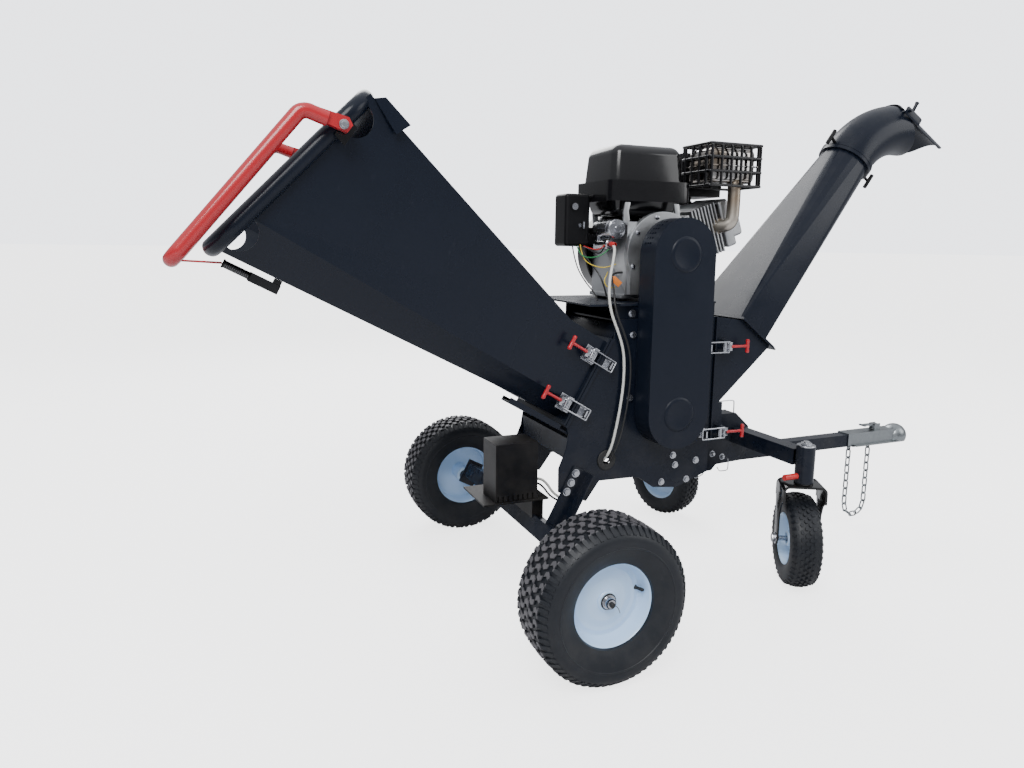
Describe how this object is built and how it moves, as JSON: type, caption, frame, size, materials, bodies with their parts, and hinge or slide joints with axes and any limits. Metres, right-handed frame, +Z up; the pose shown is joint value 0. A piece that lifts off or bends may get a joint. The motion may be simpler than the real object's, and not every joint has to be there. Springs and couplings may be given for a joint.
{
  "type": "towable wood chipper",
  "caption": "Towable wood chipper: sloping feed hopper with a safety bar, belt-driven rotor, engine on top, upswept discharge chute, and a chassis on tyred wheels and casters.",
  "frame": {"origin": "on the ground under the middle of the bounding box", "axes": "+X towards the tow coupler, +Y to the left side seen along it, +Z up"},
  "size_m": [2.5436, 1.234, 1.5592],
  "materials": {
    "body_paint": "glossy navy-charcoal powder coat",
    "cover_paint": "satin navy-charcoal powder coat",
    "red_paint": "glossy red powder coat",
    "red_plastic": "moulded red plastic",
    "black_paint": "gloss black enamel",
    "black_plastic": "moulded matte black",
    "cast_aluminium": "as-cast, slightly dull",
    "zinc": "zinc plated",
    "dark_steel": "machined and oiled",
    "chrome": "polished, slightly heat-stained",
    "rubber": "matte",
    "tyre": "black tread rubber on a pale painted rim",
    "rim_paint": "pale blue-white enamel",
    "cable_white": "sleeved lead",
    "galvanised": "galvanised",
    "tag_orange": "blank paper tag"
  },
  "bodies": {
    "chassis": {"side_plates": "body_paint", "rotor_housing": "body_paint", "legs": "body_paint", "axle_beam": "body_paint", "infeed_neck": "body_paint", "engine_plate": "body_paint", "belt_back_plate": "body_paint", "tow_bracket": "body_paint", "caster_beam": "body_paint", "belt_cover": "cover_paint", "crankcase": "cast_aluminium", "cylinder": "cast_aluminium", "recoil_shroud": "black_paint", "fuel_tank": "black_paint", "muffler_cage": "black_paint", "air_cleaner": "black_plastic", "control_box": "black_plastic", "battery_box": "black_plastic", "muffler": "chrome", "starter_motor": "zinc", "fasteners": "zinc", "drive_belts": "rubber", "battery_cables": "cable_white"},
    "hopper": {"hopper_shell": "body_paint", "mouth_frame": "body_paint", "hopper_fittings": "zinc"},
    "control_bar": {"control_bar": "red_paint"},
    "hopper_latch_upper_lever": {"hopper_latch_upper_lever": "red_paint"},
    "hopper_latch_upper_hook": {"hopper_latch_upper_hook": "zinc"},
    "hopper_latch_lower_lever": {"hopper_latch_lower_lever": "red_paint"},
    "hopper_latch_lower_hook": {"hopper_latch_lower_hook": "zinc"},
    "hood_latch_upper_lever": {"hood_latch_upper_lever": "red_paint"},
    "hood_latch_upper_hook": {"hood_latch_upper_hook": "zinc"},
    "hood_latch_lower_lever": {"hood_latch_lower_lever": "red_paint"},
    "hood_latch_lower_hook": {"hood_latch_lower_hook": "zinc"},
    "discharge": {"discharge_hood": "body_paint", "chute": "body_paint"},
    "elbow": {"elbow": "body_paint"},
    "deflector": {"deflector": "body_paint"},
    "clamp_knob_upper": {"clamp_knob_upper": "black_plastic"},
    "clamp_knob_lower": {"clamp_knob_lower": "black_plastic"},
    "rotor": {"rotor": "dark_steel"},
    "crankshaft": {"crankshaft": "dark_steel"},
    "wheel_left": {"wheel_left": "tyre"},
    "caster_fork_left": {"caster_fork_left": "black_paint"},
    "caster_wheel_left": {"caster_wheel_left": "tyre"},
    "swivel_lock_left": {"swivel_lock_left": "red_plastic"},
    "wheel_right": {"wheel_right": "tyre"},
    "caster_fork_right": {"caster_fork_right": "black_paint"},
    "caster_wheel_right": {"caster_wheel_right": "tyre"},
    "swivel_lock_right": {"swivel_lock_right": "red_plastic"},
    "tow_bar": {"tow_bar": "body_paint", "coupler": "zinc", "safety_chain": "zinc"},
    "coupler_latch": {"coupler_latch": "zinc"},
    "recoil_handle": {"recoil_handle": "black_plastic"},
    "fuel_cap": {"fuel_cap": "black_plastic"},
    "throttle_lever": {"throttle_lever": "black_plastic"},
    "start_button": {"start_button": "red_plastic"},
    "key_switch": {"key_switch": "zinc"}
  },
  "joints": [
    {"name": "hopper_hinge", "type": "hinge", "parent": "chassis", "child": "hopper", "pos_m": [-0.20943, 0.186, 0.6475], "axis": [-0.5, 0, -0.866], "range_deg": [0, 95]},
    {"name": "control_bar_swing", "type": "hinge", "parent": "hopper", "child": "control_bar", "pos_m": [-0.9053, 0, 1.283], "axis": [0, 1, 0], "range_deg": [0, 2], "stiffness_Nm_per_rad": 60, "springref_deg": -51.57},
    {"name": "hopper_latch_upper_lever_swing", "type": "hinge", "parent": "hopper", "child": "hopper_latch_upper_lever", "pos_m": [-0.19851, -0.181, 0.73242], "axis": [0.5, 0, 0.866], "range_deg": [0, 60]},
    {"name": "hopper_latch_upper_hook_swing", "type": "hinge", "parent": "hopper_latch_upper_lever", "child": "hopper_latch_upper_hook", "pos_m": [-0.20717, -0.189, 0.73742], "axis": [0.5, 0, 0.866], "range_deg": [-84, 0]},
    {"name": "hopper_latch_lower_lever_swing", "type": "hinge", "parent": "hopper", "child": "hopper_latch_lower_lever", "pos_m": [-0.27551, -0.181, 0.59905], "axis": [0.5, 0, 0.866], "range_deg": [0, 60]},
    {"name": "hopper_latch_lower_hook_swing", "type": "hinge", "parent": "hopper_latch_lower_lever", "child": "hopper_latch_lower_hook", "pos_m": [-0.28417, -0.189, 0.60405], "axis": [0.5, 0, 0.866], "range_deg": [-84, 0]},
    {"name": "hood_latch_upper_lever_swing", "type": "hinge", "parent": "discharge", "child": "hood_latch_upper_lever", "pos_m": [0.2567, -0.181, 0.738], "axis": [0, 0, -1], "range_deg": [0, 60]},
    {"name": "hood_latch_upper_hook_swing", "type": "hinge", "parent": "hood_latch_upper_lever", "child": "hood_latch_upper_hook", "pos_m": [0.2667, -0.189, 0.738], "axis": [0, 0, -1], "range_deg": [-84, 0]},
    {"name": "hood_latch_lower_lever_swing", "type": "hinge", "parent": "discharge", "child": "hood_latch_lower_lever", "pos_m": [0.2567, -0.181, 0.471], "axis": [0, 0, -1], "range_deg": [0, 60]},
    {"name": "hood_latch_lower_hook_swing", "type": "hinge", "parent": "hood_latch_lower_lever", "child": "hood_latch_lower_hook", "pos_m": [0.2667, -0.189, 0.471], "axis": [0, 0, -1], "range_deg": [-84, 0]},
    {"name": "hood_hinge", "type": "hinge", "parent": "chassis", "child": "discharge", "pos_m": [0.2277, 0.19, 0.65], "axis": [0, 0, 1], "range_deg": [0, 95]},
    {"name": "elbow_swivel", "type": "hinge", "parent": "discharge", "child": "elbow", "pos_m": [0.8627, 0, 1.331], "axis": [0.5878, 0, 0.809], "continuous": true},
    {"name": "deflector_tilt", "type": "hinge", "parent": "elbow", "child": "deflector", "pos_m": [1.04493, 0, 1.50152], "axis": [0, 1, 0], "range_deg": [-30, 8]},
    {"name": "clamp_knob_upper_turn", "type": "hinge", "parent": "elbow", "child": "clamp_knob_upper", "pos_m": [0.79746, -0.01563, 1.392], "axis": [-0.7967, -0.1736, 0.5789], "continuous": true},
    {"name": "clamp_knob_lower_turn", "type": "hinge", "parent": "elbow", "child": "clamp_knob_lower", "pos_m": [0.94127, -0.01253, 1.28751], "axis": [0.8011, -0.1392, -0.5821], "continuous": true},
    {"name": "rotor_spin", "type": "hinge", "parent": "chassis", "child": "rotor", "pos_m": [0.0527, 0, 0.557], "axis": [0, 1, 0], "continuous": true},
    {"name": "crankshaft_spin", "type": "hinge", "parent": "chassis", "child": "crankshaft", "pos_m": [0.0527, 0, 1.015], "axis": [0, 1, 0], "continuous": true},
    {"name": "wheel_left_roll", "type": "hinge", "parent": "chassis", "child": "wheel_left", "pos_m": [-0.3493, 0.535, 0.2032], "axis": [0, 1, 0], "continuous": true},
    {"name": "caster_left_swivel", "type": "hinge", "parent": "chassis", "child": "caster_fork_left", "pos_m": [0.4497, 0.341, 0.4], "axis": [0, 0, 1], "continuous": true},
    {"name": "caster_left_roll", "type": "hinge", "parent": "caster_fork_left", "child": "caster_wheel_left", "pos_m": [0.44171, 0.36888, 0.145], "axis": [-0.9613, -0.2756, 0], "continuous": true},
    {"name": "swivel_lock_left_pull", "type": "slide", "parent": "chassis", "child": "swivel_lock_left", "axis": [-1, 0, 0], "range_m": [0, 0.009], "stiffness_N_per_m": 800, "springref_m": -0.004},
    {"name": "wheel_right_roll", "type": "hinge", "parent": "chassis", "child": "wheel_right", "pos_m": [-0.3493, -0.535, 0.2032], "axis": [0, 1, 0], "continuous": true},
    {"name": "caster_right_swivel", "type": "hinge", "parent": "chassis", "child": "caster_fork_right", "pos_m": [0.4497, -0.341, 0.4], "axis": [0, 0, 1], "continuous": true},
    {"name": "caster_right_roll", "type": "hinge", "parent": "caster_fork_right", "child": "caster_wheel_right", "pos_m": [0.46376, -0.31564, 0.145], "axis": [-0.8746, 0.4848, 0], "continuous": true},
    {"name": "swivel_lock_right_pull", "type": "slide", "parent": "chassis", "child": "swivel_lock_right", "axis": [-1, 0, 0], "range_m": [0, 0.009], "stiffness_N_per_m": 800, "springref_m": -0.004},
    {"name": "tow_bar_drop", "type": "hinge", "parent": "chassis", "child": "tow_bar", "pos_m": [0.3917, 0, 0.338], "axis": [0, 1, 0], "range_deg": [0, 8]},
    {"name": "coupler_latch_lift", "type": "hinge", "parent": "tow_bar", "child": "coupler_latch", "pos_m": [1.1227, 0, 0.3785], "axis": [0, 1, 0], "range_deg": [0, 70]},
    {"name": "recoil_pull", "type": "slide", "parent": "chassis", "child": "recoil_handle", "axis": [0, 1, 0], "range_m": [0, 0.08], "stiffness_N_per_m": 60, "springref_m": -0.02},
    {"name": "fuel_cap_turn", "type": "hinge", "parent": "chassis", "child": "fuel_cap", "pos_m": [0.0127, 0.04, 1.33], "axis": [0, 0, 1], "range_deg": [0, 90]},
    {"name": "throttle_swing", "type": "hinge", "parent": "chassis", "child": "throttle_lever", "pos_m": [-0.1273, 0.096, 1.084], "axis": [0, 1, 0], "range_deg": [-25, 25]},
    {"name": "start_button_press", "type": "slide", "parent": "chassis", "child": "start_button", "axis": [0, 1, 0], "range_m": [0, 0.004], "stiffness_N_per_m": 600, "springref_m": -0.002},
    {"name": "key_turn", "type": "hinge", "parent": "chassis", "child": "key_switch", "pos_m": [-0.1553, 0, 1.096], "axis": [0, 1, 0], "range_deg": [0, 60]}
  ],
  "couplings": [
    {"joint": "hopper_latch_upper_hook_swing", "follows": "hopper_latch_upper_lever_swing", "ratio": -1.333},
    {"joint": "hopper_latch_lower_hook_swing", "follows": "hopper_latch_lower_lever_swing", "ratio": -1.333},
    {"joint": "hood_latch_upper_hook_swing", "follows": "hood_latch_upper_lever_swing", "ratio": -1.333},
    {"joint": "hood_latch_lower_hook_swing", "follows": "hood_latch_lower_lever_swing", "ratio": -1.333},
    {"joint": "crankshaft_spin", "follows": "rotor_spin", "ratio": 1.36}
  ]
}
